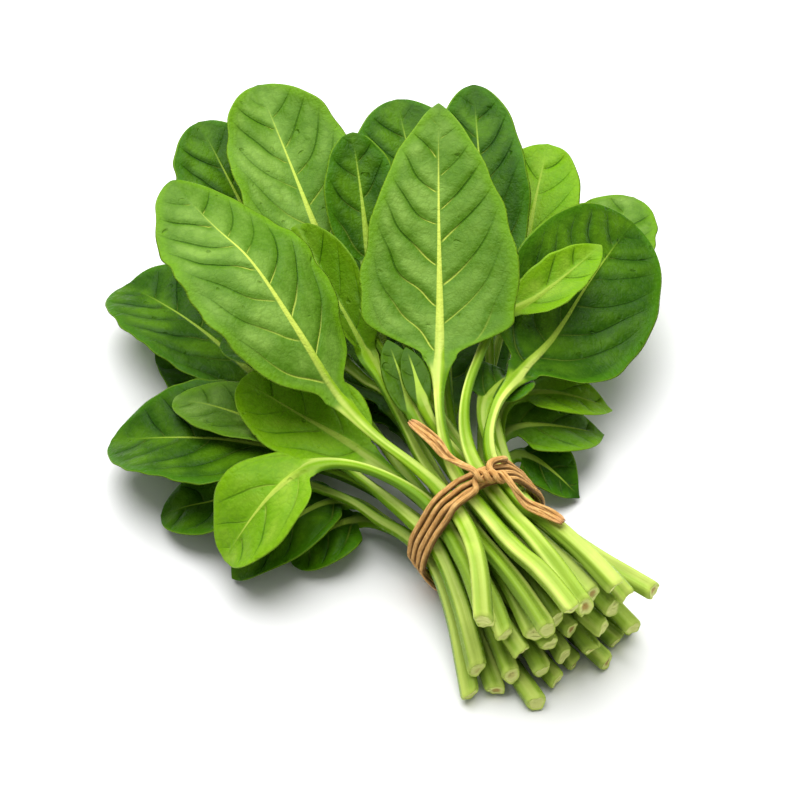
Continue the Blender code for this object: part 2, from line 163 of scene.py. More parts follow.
# in the order they are laid, from the table up
leaves = [
    leaf("floor_left", "dark", (0, 0), (-20.5, -73, 4.2), (-36, 40, 9), (-68, 36, 4),
        30, bow=6, roll=-10),
    leaf("floor_back_left", "dark", (0, 1), (-8, -68, 4.2), (-30, 80, 8), (-62, 176, 3),
        52, "broad", cup=4),
    leaf("floor_back", "dark", (0, 2), (3, -64, 4.2), (8, 78, 8), (16, 182, 3), 56, cup=4),
    leaf("floor_back_right", "dark", (0, 3), (14, -70, 4.2), (30, 78, 12), (84, 166, 6),
        54, "broad", cup=6),
    leaf("floor_right", "dark", (0, 4), (23.5, -63, 4.2), (39, 34, 14), (53, 10, 3),
        26, "pointed", bow=4, sheen=0.2),
    leaf("low_left", "dark", (1, 0), (-31, -60, 4.2), (-39, 46, 14), (-92, 43, 3),
        34, "narrow", bow=8),
    leaf("low_back_left", "dark", (1, 1), (-25.5, -62, 12), (-40, 74, 14), (-92, 136, 7),
        46, cup=6),
    leaf("back_left", "dark", (1, 2), (-14, -66, 12), (-36, 113, 20), (-60, 208, 18),
        56, "blunt", bow=6),
    leaf("low_back", "dark", (1, 3), (-2.5, -64, 12), (6, 84, 16), (34, 196, 12), 54, cup=6),
    leaf("right_back", "mid", (1, 4), (8.5, -67, 12), (98, 88, 30), (153, 122, 42), 48),
    leaf("low_right", "mid", (1, 5), (32.5, -60, 4.2), (38, 42, 22), (77, 29, 11),
        38, "pointed", bow=4, sheen=0.15),
    leaf("side_left", "dark", (2, 0), (-41, -57, 4.2), (-60, 62, 16), (-103, 86, 5), 42, bow=3),
    leaf("left", "dark", (2, 1), (-20, -60, 20), (-46, 64, 30), (-105, 127, 14), 62, bow=6),
    leaf("far_back", "dark", (2, 2), (-8.5, -62, 20), (-14, 150, 50), (-12, 224, 80), 52),
    leaf("top_inner", "mid", (2, 3), (3, -60, 20), (2, 84, 50), (17, 117, 58),
        17, cup=30, tint=-0.5, sheen=0.4),
    leaf("back_inner", "dark", (2, 4), (13.5, -66, 20), (50, 126, 54), (69, 190, 84), 56),
    leaf("back_young", "light", (2, 5), (18.5, -64, 12), (88, 112, 45), (126, 153, 62),
        40, sheen=0.6),
    leaf("side_right", "light", (2, 6), (28, -66, 12), (50, 52, 28), (84, 34, 18),
        28, "pointed", bow=5, sheen=0.5),
    leaf("left_inner", "mid", (3, 0), (-36, -54, 12), (-45, 68, 30), (-77, 122, 28),
        34, tint=-0.1, sheen=1.2),
    leaf("left_folded", "light", (3, 1), (-25, -55, 27), (-28, 46, 38), (-55, 102, 46),
        44, roll=-12, sheen=0.3),
    leaf("left_shade", "dark", (3, 2), (-14.5, -60, 27), (-14, 91, 38), (-48, 135, 38), 34),
    leaf("back", "mid", (3, 3), (-3, -58, 27), (2, 128, 62), (16, 220, 92), 58, cup=16, rib=0.7),
    leaf("back_middle", "dark", (3, 4), (8.5, -61, 27), (15, 118, 66), (32, 164, 98), 33),
    leaf("back_right", "dark", (3, 5), (38, -64, 27), (60, 96, 50), (101, 177, 88), 42),
    leaf("front_young", "light", (4, 0), (-30.5, -51, 20), (-54, 47, 43), (-95, 43, 16),
        42, bow=8, rib=0.6),
    leaf("top_folded", "light", (4, 1), (-13, -66, 34), (-7, 82, 50), (-4, 148, 70),
        36, cup=50, tint=-0.35, sheen=0.6),
    leaf("heart", "light", (4, 2), (2, -58, 34), (-8, 42, 54), (-1, 76, 64),
        16, "narrow", tint=-0.7, sheen=0.2),
    leaf("heart_low", "light", (4, 3), (8.5, -64, 35), (-4, 41, 56), (3, 68, 62),
        12, "narrow", tint=-0.75, sheen=0.2),
    leaf("right_inner", "dark", (4, 4), (23.5, -66, 20), (27, 43, 44), (46, 54, 41), 30, bow=3),
    leaf("right", "dark", (5, 3), (15, -69, 35), (46, 47, 36), (137, 101, 49), 70, bow=4, roll=30),
    leaf("top_right", "light", (5, 2), (1, -70, 42), (54, 69, 56), (107, 82, 64),
        24, "narrow", roll=20, cup=25),
    leaf("top", "mid", (5, 1), (-6, -71, 41), (14, 60, 60), (64, 146, 112),
        66, "broad", cup=8, rib=1.0),
    leaf("top_left", "mid", (5, 0), (-34, -54, 29), (-31, 64, 52), (-49, 171, 99),
        63, bow=6, cup=-10, roll=10, rib=0.9, ease=15.0),
]


def smooth(low, high, value):
    t = np.clip((value - low) / (high - low), 0.0, 1.0)
    return t * t * (3 - 2 * t)


def unit(vectors):
    return vectors / np.linalg.norm(vectors, axis=-1, keepdims=True)


def splineThrough(points):
    # natural cubic through the points, as a function of the share of its length
    points = np.array(points, float)
    gaps = np.linalg.norm(np.diff(points, axis=0), axis=1)
    knots = np.concatenate([[0], np.cumsum(gaps)])
    count = len(points)
    system = np.eye(count)
    sides = np.zeros((count, 3))
    for i in range(1, count - 1):
        system[i, i - 1 : i + 2] = gaps[i - 1], 2 * (gaps[i - 1] + gaps[i]), gaps[i]
        slopes = (points[i + 1] - points[i]) / gaps[i] - (points[i] - points[i - 1]) / gaps[i - 1]
        sides[i] = 6 * slopes
    bends = np.linalg.solve(system, sides)

    def at(share):
        distance = np.atleast_1d(share) * knots[-1]
        i = np.clip(np.searchsorted(knots, distance) - 1, 0, count - 2)
        gap = gaps[i][:, None]
        after = (distance - knots[i])[:, None]
        before = gap - after
        curve = (bends[i] * before**3 + bends[i + 1] * after**3) / (6 * gap)
        line = (points[i] / gap - bends[i] * gap / 6) * before
        return curve + line + (points[i + 1] / gap - bends[i + 1] * gap / 6) * after

    return at, knots / knots[-1], knots[-1]


def slotOf(row, place):
    across = (place - (tie["rowStems"][row] - 1) / 2) * tie["slotPitch"]
    lowest = 2 * twine["radius"] + tie["stemRadius"] + twine["gap"] + 0.1
    out, up = across, (row - 2) * tie["rowRise"]
    corner = 3 * tie["slotPitch"]
    sixth = math.pi / 3
    side = corner * math.cos(sixth / 2) / math.cos(math.atan2(up, out) % sixth - sixth / 2)
    bulge = 1 + tie["rounding"] * (math.hypot(out, up) / side) ** 3 * (corner / side - 1) * (up > 0)
    return np.array([tie["shiftX"] + out * bulge, 0.0, lowest + 2 * tie["rowRise"] + up * bulge])


def centreline(spec):
    # its points by the share of its length, and the shares where tie and blade start and end
    slot = slotOf(*spec["slot"])
    base, tip = np.array(spec["base"], float), np.array(spec["tip"], float)
    middle = (base + tip) / 2 + np.array([0, 0, spec["bow"]])
    off = slot - slotOf(2, 3)
    fanned = tie["straight"] * np.array([off[0] * tie["fan"], 1, max(off[2], 0) * tie["fan"]])
    towardsCut = unit(np.array(spec["cut"], float) - slot)
    gathered = (1 - tie["cutFan"]) * np.array([0, -1, 0]) + tie["cutFan"] * towardsCut
    gathered = tie["straight"] * gathered
    line, knots, length = splineThrough([spec["cut"], slot + gathered, slot, slot + fanned,
            base, middle, tip])
    return line, (knots[1], knots[3], knots[4]), length


def halfWidth(spec, along):
    basePower, tipPower, taper = outlines[spec["outline"]]
    widest = basePower / (basePower + tipPower)
    most = widest**basePower * (1 - widest) ** tipPower
    outline = along**basePower * (1 - along) ** tipPower / most
    return spec["width"] / 2 * outline * smooth(-0.05, taper, along)


def stemRadius(shares, tieStart, tieEnd, bladeStart):
    cut, tied, blade = leafForm["cutRadius"], tie["stemRadius"], leafForm["bladeStemRadius"]
    thin = smooth(tieEnd * 0.85, tieEnd + leafForm["thinning"] * (bladeStart - tieEnd), shares)
    stem = cut + (tied - cut) * smooth(0, tieStart, shares) + (blade - tied) * thin
    onBlade = blade * (1 - 0.8 * (shares - bladeStart) / (1 - bladeStart))
    return np.where(shares < bladeStart, stem, onBlade)


def sectionFrames(spec, shares, last=1.0):
    # the middle of each section, its level side and its up, turned by the leaf's roll
    line, (_, _, bladeStart), _ = centreline(spec)
    centres = line(shares)
    ahead = unit(line(np.minimum(shares + 0.004, last)) - line(np.maximum(shares - 0.004, 0)))
    side = unit(np.cross(ahead, [0, 0, 1]))
    up = np.cross(side, ahead)
    into = (shares - bladeStart) / (1 - bladeStart)
    turn = (math.radians(spec["roll"]) * smooth(-0.35, 0.25, into))[:, None]
    return (centres, ahead, side * np.cos(turn) - up * np.sin(turn),
        up * np.cos(turn) + side * np.sin(turn), into)


def solidRims(spec):
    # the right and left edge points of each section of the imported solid, before the pile lifts it
    marks = centreline(spec)[1]
    bladeStart = marks[2]
    even = np.linspace(0, 1, 10)
    blade = 0.35 * even + 0.65 * (0.5 - 0.5 * np.cos(np.pi * even))
    blade[-1] = 0.995
    stem = np.linspace(0, bladeStart, 12, endpoint=False)
    shares = np.concatenate([stem, bladeStart + blade * (1 - bladeStart)])
    centres, _, side, up, into = sectionFrames(spec, shares)
    radius = stemRadius(shares, *marks)
    half = np.maximum(halfWidth(spec, np.clip(into, 0, 1)), radius)
    onBlade = smooth(0, 6, half - radius)
    cup = np.radians(spec["cup"]) * onBlade
    reach = side * (half * np.cos(cup))[:, None]
    raised = up * (half * np.sin(cup))[:, None]
    return shares, centres + reach + raised, centres - reach + raised


def nodePoints(node):
    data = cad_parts[node].data
    points = np.zeros(len(data.vertices) * 3)
    data.vertices.foreach_get("co", points)
    return points.reshape(-1, 3) / mm


def restingHeights(spec):
    # how the pile holds each section of the leaf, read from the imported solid, and the solids' origin
    shares, right, left = solidRims(spec)
    solid = nodePoints(spec["node"])
    rims = np.vstack([right, left])
    shift = solid[:, :2].min(axis=0) - rims[:, :2].min(axis=0)
    gaps = np.linalg.norm(rims[:, None, :2] + shift - solid[None, :, :2], axis=2)
    rise = solid[np.argmin(gaps, axis=1), 2] - rims[:, 2]
    return shares, (rise[: len(shares)] + rise[len(shares) :]) / 2, shift, gaps.min(axis=1).max()


def softened(values, spacing, reach):
    # a rounded copy of values along a leaf
    width = max(int(round(reach / spacing)), 1)
    kernel = np.hanning(2 * width + 3)
    kernel /= kernel.sum()
    padded = np.pad(values, width + 1, mode="edge")
    return np.convolve(padded, kernel, mode="valid")


def waves(rng, count, shortest, longest):
    # a gentle uneven surface: waves of several lengths and directions, between about -1 and 1
    length = rng.uniform(shortest, longest, count)
    angle = rng.uniform(0, math.pi, count)
    phase = rng.uniform(0, 2 * math.pi, count)

    def at(s, x):
        total = 0
        for k in range(count):
            way = s * math.cos(angle[k]) + x * math.sin(angle[k])
            total = total + np.sin(2 * math.pi * way / length[k] + phase[k])
        return total / math.sqrt(count)

    return at


def addObject(name, data):
    made = bpy.data.objects.new(name, data)
    bpy.context.scene.collection.objects.link(made)
    return made


def addSkins(name, grids, origin):
    # closed skins in one mesh: each grid is rows of points that go round the piece
    quads, caps, start = [], [], 0
    for grid in grids:
        rows, around = grid.shape[:2]
        row, k = np.meshgrid(np.arange(rows - 1), np.arange(around), indexing="ij")
        nextK = (k + 1) % around
        here, above = row * around, (row + 1) * around
        corners = [here + k, above + k, above + nextK, here + nextK]
        quads.append(start + np.stack(corners, axis=-1).reshape(-1, 4))
        caps.append(start + np.arange(around))
        start += rows * around
        caps.append(start - 1 - np.arange(around))
    quads = np.vstack(quads)
    loops = np.concatenate([quads.reshape(-1), *caps])
    capStarts = len(quads) * 4 + np.arange(len(caps)) * around
    starts = np.concatenate([np.arange(len(quads)) * 4, capStarts])
    points = (np.vstack([grid.reshape(-1, 3) for grid in grids]) + origin) * mm
    mesh = bpy.data.meshes.new(name)
    mesh.vertices.add(len(points))
    mesh.vertices.foreach_set("co", points.reshape(-1).astype(np.float32))
    mesh.loops.add(len(loops))
    mesh.loops.foreach_set("vertex_index", loops.astype(np.int32))
    mesh.polygons.add(len(starts))
    mesh.polygons.foreach_set("loop_start", starts.astype(np.int32))
    mesh.polygons.foreach_set("use_smooth", np.ones(len(starts), bool))
    mesh.update(calc_edges=True)
    return addObject(name, mesh), loops


def addUnwrap(piece, rows, around):
    # one even unwrapping of a whole skin, with its two caps along its ends
    row, k = np.meshgrid(np.arange(rows - 1), np.arange(around), indexing="ij")
    u = np.stack([k, k, k + 1, k + 1], axis=-1).reshape(-1) / around
    v = np.stack([row, row + 1, row + 1, row], axis=-1).reshape(-1) / (rows - 1)
    capU = np.arange(around) / around
    u = np.concatenate([u, capU, capU[::-1]])
    v = np.concatenate([v, np.zeros(around), np.ones(around)])
    layer = piece.data.uv_layers.new(name="OFBake")
    layer.data.foreach_set("uv", np.stack([u, v], axis=1).reshape(-1).astype(np.float32))


def addUv(piece, loops, name, coordinates):
    layer = piece.data.uv_layers.new(name=name)
    layer.data.foreach_set("uv", coordinates.reshape(-1, 2)[loops].reshape(-1).astype(np.float32))


def addField(piece, name, values):
    field = piece.data.attributes.new(name, "FLOAT", "POINT")
    field.data.foreach_set("value", np.ravel(values).astype(np.float32))


def pieceName(node):
    words = node.split("_")
    return words[0] + "".join(word.capitalize() for word in words[1:])


def buildLeaf(spec, index, material):
    form = leafForm
    rng = np.random.default_rng(400 + index)
    _, marks, length = centreline(spec)
    bladeStart = marks[2]
    stemLength, bladeLength = length * bladeStart, length * (1 - bladeStart)
    coarse = 1.0
    # sections, closer together at the cut end and at both ends of the blade
    step = form["step"] * coarse
    stemRows = int(stemLength / form["stemStep"] / coarse)
    bladeRows = int(bladeLength / step)
    even = np.linspace(0, 1, bladeRows)
    blade = 0.55 * even + 0.45 * (0.5 - 0.5 * np.cos(np.pi * even))
    blade[-1] = 0.9992
    nearCut = np.array([0, 0.25, 0.7, 1.3, 2.2]) / length
    stem = np.concatenate([nearCut, np.linspace(3.5 / length, bladeStart, stemRows, endpoint=False)])
    tipReach = form["tipReach"]
    shares = np.concatenate([stem, bladeStart + blade * (1 - bladeStart) * tipReach])
    half = max(int(spec["width"] / step / 2) * 2, 14)
    around = 2 * half

    centres, ahead, side, up, into = sectionFrames(spec, shares, 1.05)
    solidShares, rise, _, _ = restingHeights(spec)
    fine = np.linspace(0, 1, int(length / 0.5))
    eased = softened(np.interp(fine, solidShares, rise), 0.5, spec["ease"])
    centres[:, 2] += np.interp(shares, fine, eased)

    # across each section p runs from the right edge, 1, over the top to the left, -1, and back below
    k = np.arange(around)
    p = np.where(k <= half, 1 - 2 * k / half, 2 * (k - half) / half - 1)
    sign = np.where((k == 0) | (k == half), 0, np.where(k < half, 1, -1))
    theta = np.pi * k / half
    along = np.clip(into / tipReach, 0, 1)
    radius = stemRadius(np.minimum(shares, 1), *marks)
    before = np.maximum(-into * bladeLength, 0)
    wing = form["wingWidth"] * min(spec["width"] / 60, 1)
    wing = radius + wing * np.exp(-before / form["wingReach"]) * smooth(0.4, 0.1, into)
    wide = (np.where(into > 0, halfWidth(spec, along), 0) ** 4 + wing**4) ** 0.25
    wide = np.maximum(wide, radius)
    onBlade = smooth(0, 6, wide - radius)[:, None]
    wide, radius = wide[:, None], radius[:, None]
    share = np.sign(p) * np.abs(p) ** 1.12
    s = (into * bladeLength)[:, None] + 0 * share

    # the stem: a round stalk with soft lengthwise ridges and a shallow groove along its top
    turnA, turnB = rng.uniform(0, 2 * math.pi, 2)
    ridge = np.cos(3 * theta + turnA + s * 0.01) + 0.7 * np.cos(5 * theta + turnB - s * 0.013)
    ridge = ridge + 0.2 * np.cos(8 * theta + turnB)
    distance = (shares * length)[:, None]
    lean = 0.30 * np.sin(distance / 21 + turnA) + 0.6 * np.sin(turnB)
    groove = 0.20 * np.exp(-((theta + 0.6 * lean - math.pi / 2) / 0.42) ** 2)
    swell = 0.02 * np.sin(s / 9 + turnA) + 0.015 * np.sin(s / 4.1 + turnB)
    stalk = 1 - 2 * form["stemRidge"] + form["stemRidge"] * ridge + swell
    marginWave = waves(rng, *form["marginWaves"])(s, np.sign(share) * 60)
    margin = 1 + form["uneven"] * marginWave * onBlade * share**2 * smooth(0, 0.1, into)[:, None]
    across = wide * ((1 - onBlade) * np.cos(theta) * stalk + onBlade * share) * margin
    rimEase = np.sqrt(np.clip(1 - np.abs(share) ** 22, 0, 1))
    thin = form["thickness"] * (1 - 0.35 * along[:, None])
    ribRadius = radius * (1 - 0.6 * smooth(0, 0.7, into))[:, None]
    nearRib = np.clip(np.abs(share) * wide / (ribRadius * 1.05), 0, 1)
    ribHeight = np.where(sign > 0, form["ribTop"], form["ribBelow"])
    rib = (1 - nearRib**2) ** 1.3 * ribRadius * ribHeight
    flat = sign * (thin / 2 * rimEase + rib)
    height = (1 - onBlade) * (np.sin(theta) * stalk - groove) * radius + onBlade * flat

    # side veins leave the rib forwards and curl towards the tip; the blade swells between them
    x = across * onBlade
    halfMost = spec["width"] / 2
    veins = max(bladeLength / form["veinPitch"], form["fewestVeins"])
    outwards = np.abs(x) / halfMost
    climb = halfMost * (form["veinRise"] * outwards + form["veinCurl"] * outwards**3)
    slope = form["veinRise"] + 3 * form["veinCurl"] * outwards**2
    bend = waves(rng, *form["veinWaves"])
    reach = (s - climb) / bladeLength
    # the two sides take turns, half a step apart
    phase = veins * (reach + 0.16 * reach**2) + 0.09 * bend(s, x) + np.where(x > 0, 0.5, 0.0) + 0.3
    strength = rng.uniform(0.45, 1.0, 64)[(np.floor(phase).astype(int) * 2 + (x > 0)) % 64]
    fade = smooth(0.98, 0.55, np.abs(share)) * smooth(1.0, 0.8, along)[:, None] * strength
    fade = fade * smooth(0.4, 1.6, np.abs(x) - ribRadius * 0.6) * onBlade
    veinScale = bladeLength / veins / np.sqrt(1 + slope**2)
    off = np.abs(phase - np.floor(phase) - 0.5) * veinScale
    lift = -fade * (form["veinDepth"] * np.exp(-((off / 2.4) ** 2))
        + form["veinLine"] * np.exp(-((off / 0.8) ** 2)))
    crinkle = waves(rng, *form["crinkleWaves"])
    inside = smooth(1.0, 0.75, np.abs(share)) * smooth(1.5, 6, np.abs(x))
    lift = lift + form["crinkle"] * crinkle(s, x) * inside
    swayWave = waves(rng, *form["swayWaves"])
    lift = lift + form["sway"] * swayWave(s, x) * smooth(2, 16, np.abs(x))
    edgeWave = waves(rng, *form["edgeWaves"])
    edge = np.abs(share) ** 3 * smooth(0, 18, wide) * smooth(0.0, 0.12, into)[:, None]
    lift = lift + form["ruffle"] * edge * edgeWave(s, np.sign(share) * 90)
    lift = lift * onBlade

    cup = np.radians(spec["cup"]) * onBlade
    raised = (np.sqrt(across**2 + 4) - 2) * np.sin(cup)
    points = (centres[:, None] + side[:, None] * (across * np.cos(cup))[..., None]
        + up[:, None] * (height + raised + lift)[..., None])

    # the cut end: a slanting slice with a slightly sunken middle
    slant, way = rng.uniform(0.1, 0.42), rng.uniform(0, 2 * math.pi)
    sliced = slant * np.cos(theta - way) + 0.09 * np.sin(2 * theta + turnA)
    sliced = (sliced + 0.03 * np.sin(5 * theta + turnB)) * radius * np.exp(-(distance / 7) ** 2)
    worn = 0.13 * np.exp(-(distance / 0.6) ** 2)
    points += (centres[:, None] - points) * worn[..., None]
    points += ahead[:, None] * sliced[..., None]
    rings = np.array(form["cutRings"])
    middle = points[0].mean(axis=0)
    sunk = 0.45 * np.exp(-(rings / 0.40) ** 2) - 0.10 * rings**4 + 0.12 * np.sin(rings * 9 + turnA)
    face = middle + (points[0] - middle)[None] * rings[:, None, None] + ahead[0] * sunk[:, None, None]
    points = np.concatenate([face, points])
    rows = len(points)

    def withFace(values, faceValues=None):
        # values for every row: the cut face repeats its edge unless told otherwise
        values = np.broadcast_to(values, (rows - len(rings), around))
        top = np.broadcast_to(values[:1], (len(rings), around))
        if faceValues is not None:
            top = np.broadcast_to(faceValues, (len(rings), around))
        return np.concatenate([top, values])

    piece, loops = addSkins(pieceName(spec["node"]), [points], [*restShift, 0])
    addUnwrap(piece, rows, around)
    sideways = np.where(onBlade > 0.5, x, p * math.pi / 2 * radius)
    leafUv = np.stack([withFace(distance) / 100, withFace(sideways) / 100], axis=-1)
    leafUv[: len(rings), :, 0] = 0.003 * np.cos(theta) * rings[:, None] - 0.01
    leafUv[: len(rings), :, 1] = 0.04 * np.sin(theta) * rings[:, None]
    leafUv = leafUv + rng.uniform(0, 9, 2)
    addUv(piece, loops, "leafUv", leafUv)
    addUv(piece, loops, "veinUv", np.stack([withFace(phase), withFace(p)], axis=-1))
    flat = 0 * distance
    # painted shade on the stems of the lower rows, growing away from the cut towards the leaves
    dark = form["rowPaintedShade"][spec["slot"][0]] * (0.45 + 0.55 * smooth(55, 95, distance))
    fields = {
        "veinFade": (fade, 0),
        "veinScale": (veinScale,),
        "bladeShare": (onBlade, 0),
        "ribShare": (np.where(onBlade > 0.02, np.abs(share) * wide / ribRadius, 1),),
        "rimDistance": ((1 - np.abs(share)) * wide * onBlade + 9 * (1 - onBlade),),
        "alongBlade": (into[:, None],),
        "fromCut": (distance, 0),
        "cutFace": (flat, 1),
        "cutRing": (flat + 1, rings[:, None]),
        "underside": (np.where(sign < 0, 1.0, 0.0) * onBlade,),
        "leafTint": (flat + spec["tint"],),
        "ribPale": (flat + spec["rib"],),
        # painted sheen: the blade paler between its veins, and its left half painted lighter than its
        # right as if lit from that side
        "leafSheen": (spec["sheen"] * (1.15 - 0.55 * smooth(-5, 9, x)),),
        # how far round towards the top a point of the stem is, for the painted highlight along the top
        # and the painted shade at the sides
        "stemTop": (np.sin(theta + lean) + 0.20 * ridge,),
        "stemDeep": (dark,),
    }
    for name, values in fields.items():
        addField(piece, name, withFace(*values))
    piece.data.materials.append(material)
    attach(piece, "root")
    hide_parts(spec["node"])


def join(tree, source, target):
    # source is a socket or a plain value
    if isinstance(source, bpy.types.NodeSocket):
        tree.links.new(source, target)
    else:
        target.default_value = source


def put(tree, kind, inputs=None, **settings):
    node = tree.nodes.new(kind)
    for key, value in settings.items():
        setattr(node, key, value)
    for name, value in (inputs or {}).items():
        join(tree, value, node.inputs[name])
    return node


def maths(tree, operation, *values):
    return put(tree, "ShaderNodeMath", dict(enumerate(values)), operation=operation).outputs[0]


def times(tree, first, second):
    return maths(tree, "MULTIPLY", first, second)


def ramp(tree, value, low, high):
    # 0 at low and 1 at high, eased between them
    inputs = {"Value": value, "From Min": low, "From Max": high}
    return put(tree, "ShaderNodeMapRange", inputs, interpolation_type="SMOOTHSTEP").outputs["Result"]


def blend(tree, factor, *colours):
    first, second = [(*value, 1) if isinstance(value, tuple) else value for value in colours]
    return put(tree, "ShaderNodeMix", {0: factor, 6: first, 7: second}, data_type="RGBA").outputs[2]


def overlay(tree, under, colour, mask, strength):
    return blend(tree, times(tree, mask, strength), under, colour)


def field(tree, name):
    return put(tree, "ShaderNodeAttribute", attribute_name=name).outputs["Fac"]


def noise(tree, vector, scale, detail=2.0, roughness=0.5):
    inputs = {"Vector": vector, "Scale": scale, "Detail": detail, "Roughness": roughness}
    return put(tree, "ShaderNodeTexNoise", inputs).outputs


def arrange(tree):
    # nodes in columns, each one left of all that it feeds
    column = {node.name: 0 for node in tree.nodes}
    for _ in column:
        for link in tree.links:
            source, target = link.from_node.name, link.to_node.name
            column[source] = max(column[source], column[target] + 1)
    rows = [0] * (max(column.values()) + 1)
    for name, place in column.items():
        tree.nodes[name].location = (-place * 190, -rows[place] * 170)
        rows[place] += 1


def newGroup(name, inputs, outputs):
    # inputs are numbers, or None for a vector, and outputs are all numbers
    tree = bpy.data.node_groups.new(name, "ShaderNodeTree")
    for label, value in inputs.items():
        kind = "NodeSocketVector" if value is None else "NodeSocketFloat"
        socket = tree.interface.new_socket(name=label, in_out="INPUT", socket_type=kind)
        if value is not None:
            socket.default_value = value
    for label in outputs:
        tree.interface.new_socket(name=label, in_out="OUTPUT", socket_type="NodeSocketFloat")
    return tree, put(tree, "NodeGroupInput").outputs, put(tree, "NodeGroupOutput").inputs


def sideVeinsGroup():
    # lines at the middle of every whole step of Phase, and how near they are. Scale is the length of
    # a step in millimetres, Width the half-width of a line.
    tree, given, result = newGroup(
        "sideVeins", {"Phase": 0, "Scale": 10, "Fade": 1, "Width": 0.5}, ("Line", "Near"))
    off = maths(tree, "SUBTRACT", maths(tree, "FRACT", given["Phase"]), 0.5)
    off = times(tree, maths(tree, "ABSOLUTE", off), given["Scale"])
    line = ramp(tree, off, given["Width"], 0.05)
    join(tree, times(tree, line, given["Fade"]), result["Line"])
    near = ramp(tree, off, times(tree, given["Width"], 8.0), 0.3)
    join(tree, times(tree, near, maths(tree, "SQRT", given["Fade"])), result["Near"])
    return tree


def puckerGroup():
    # short curved creases scattered over a blade, on the Share of it that has any
    tree, given, result = newGroup(
        "puckers", {"Vector": None, "Scale": 9, "Share": 0.5}, ("Line", "Height"))
    folds = noise(tree, given["Vector"], given["Scale"], 1.5)["Fac"]
    off = maths(tree, "ABSOLUTE", maths(tree, "SUBTRACT", folds, 0.5))
    where = noise(tree, given["Vector"], times(tree, given["Scale"], 1.7), 1)["Fac"]
    low = maths(tree, "SUBTRACT", 1.08, given["Share"])
    mask = ramp(tree, where, low, maths(tree, "ADD", low, 0.07))
    for name, outer, inner in (("Line", 0.022, 0.004), ("Height", 0.075, 0.0)):
        join(tree, times(tree, ramp(tree, off, outer, inner), mask), result[name])
    return tree


def veinNetGroup():
    # the fine net of the smallest veins, and the cushions between them
    tree, given, result = newGroup(
        "veinNet", {"Vector": None, "Scale": 30, "Waver": 0.02}, ("Line", "Height"))
    sway = noise(tree, given["Vector"], 24)["Color"]
    away = put(tree, "ShaderNodeVectorMath", {0: sway, "Scale": given["Waver"]}, operation="SCALE")
    moved = {0: given["Vector"], 1: away.outputs[0]}
    moved = put(tree, "ShaderNodeVectorMath", moved, operation="ADD")
    heights = []
    for share, weight in ((1.0, 0.65), (2.6, 0.35)):
        scale = times(tree, given["Scale"], share)
        cells = put(tree, "ShaderNodeTexVoronoi", {"Vector": moved.outputs[0], "Scale": scale},
            feature="DISTANCE_TO_EDGE")
        cushion = ramp(tree, cells.outputs["Distance"], 0.0, 0.34)
        heights.append(times(tree, cushion, weight))
    height = maths(tree, "ADD", *heights)
    join(tree, height, result["Height"])
    join(tree, ramp(tree, height, 0.5, 0.05), result["Line"])
    return tree


def mottleGroup():
    # slow uneven colour, and small specks on it
    tree, given, result = newGroup(
        "mottle", {"Vector": None, "Size": 4, "Contrast": 1}, ("Broad", "Speck"))
    for name, share, low, high in (("Broad", 1.0, 0.36, 0.64), ("Speck", 9.0, 0.38, 0.68)):
        size = times(tree, given["Size"], share)
        value = ramp(tree, noise(tree, given["Vector"], size, 3)["Fac"], low, high)
        join(tree, times(tree, value, given["Contrast"]), result[name])
    return tree


def fibreGroup():
    # long thin streaks along U: the ribs of a stem or the fibres of twine
    tree, given, result = newGroup(
        "fibreStreaks", {"Vector": None, "Along": 2, "Across": 60}, ("Streak", "Height"))
    parts = put(tree, "ShaderNodeSeparateXYZ", {0: given["Vector"]}).outputs
    drawn = [times(tree, parts[i], given[way]) for i, way in enumerate(("Along", "Across"))]
    drawn = put(tree, "ShaderNodeCombineXYZ", dict(enumerate(drawn))).outputs[0]
    height = noise(tree, drawn, 1, 4, 0.6)["Fac"]
    join(tree, ramp(tree, height, 0.33, 0.67), result["Streak"])
    join(tree, height, result["Height"])
    return tree


def useGroup(tree, group, **values):
    return put(tree, "ShaderNodeGroup", values, label=group.name, node_tree=group).outputs


def newMaterial(name, settings):
    material = bpy.data.materials.new(name)
    material.use_nodes = True
    shader = material.node_tree.nodes["Principled BSDF"]
    for key, value in settings.items():
        shader.inputs[key].default_value = value
    return material, material.node_tree, shader


def finishMaterial(tree, shader, colour, rough, height, bump):
    # bump is its strength and how far it stands up
    join(tree, colour, shader.inputs["Base Color"])
    join(tree, rough, shader.inputs["Roughness"])
    relief = put(tree, "ShaderNodeBump", {"Strength": bump[0], "Distance": bump[1], "Height": height})
    join(tree, relief.outputs[0], shader.inputs["Normal"])
    arrange(tree)


# pale is the colour of paler leaves and specks and also paints the sheen between the veins; vein is
# the veins' own deep green and also paints the shade in their sunken grooves, in the net of small
# veins and in the creases
leafFinishes = {
    "dark": {
        "flesh": (0.014, 0.064, 0.001), "pale": (0.074, 0.186, 0.003), "rim": (0.048, 0.165, 0.001),
        "vein": (0.006, 0.034, 0.001), "below": (0.100, 0.215, 0.016), "roughness": 0.34},
    "mid": {
        "flesh": (0.058, 0.160, 0.002), "pale": (0.180, 0.325, 0.046), "rim": (0.125, 0.290, 0.002),
        "vein": (0.022, 0.082, 0.001), "below": (0.165, 0.290, 0.032), "roughness": 0.36},
    "light": {
        "flesh": (0.120, 0.295, 0.002), "pale": (0.240, 0.410, 0.026), "rim": (0.170, 0.360, 0.002),
        "vein": (0.042, 0.138, 0.001), "below": (0.230, 0.370, 0.036), "roughness": 0.38},
}
